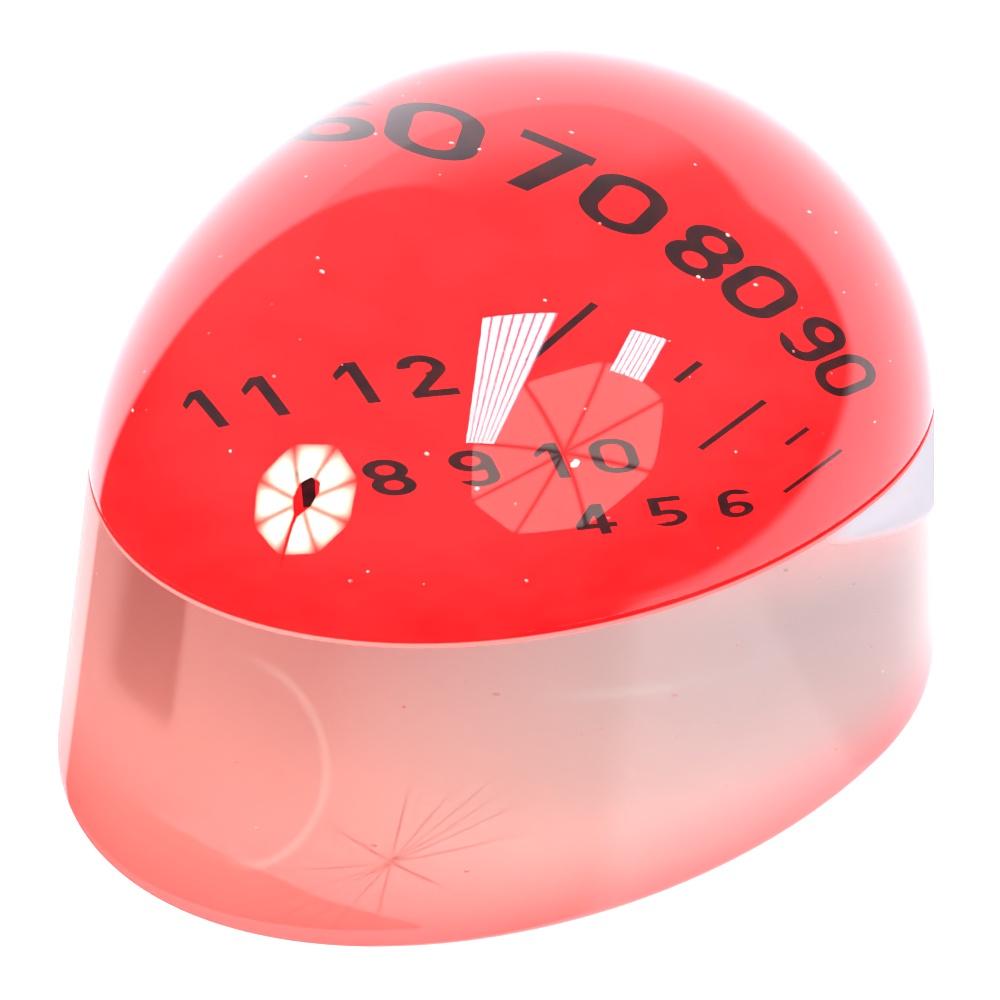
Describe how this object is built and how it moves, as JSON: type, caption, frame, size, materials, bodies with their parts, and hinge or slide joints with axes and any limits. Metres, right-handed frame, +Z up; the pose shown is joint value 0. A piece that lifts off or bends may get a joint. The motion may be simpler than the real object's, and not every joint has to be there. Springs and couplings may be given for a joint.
{
  "type": "colour-changing egg timer",
  "caption": "Solid clear casting on an egg-shaped plan, with a domed top over a red heat-sensitive disc that carries a printed dial of numbers and ticks.",
  "frame": {"origin": "under the middle of the foot's length and width, on the face that it rests on", "axes": "+X along the egg towards its blunt end, -X to its pointed end, +Z up through the dome"},
  "size_m": [0.056, 0.0436, 0.0336],
  "materials": {
    "clear_foot": "polished clear resin, slightly warm, with a few trapped bubbles",
    "clear_dome": "polished clear resin",
    "thermal_red": "opaque red heat-sensitive layer, faintly mottled",
    "dial_ink": "flat dark print"
  },
  "bodies": {
    "root": {"foot_casting": "clear_foot", "thermal_disc": "thermal_red", "dome_casting": "clear_dome", "arc_numerals": "dial_ink", "hard_numerals": "dial_ink", "medium_numerals": "dial_ink", "soft_numerals": "dial_ink", "long_ticks": "dial_ink", "short_ticks": "dial_ink"}
  },
  "joints": []
}
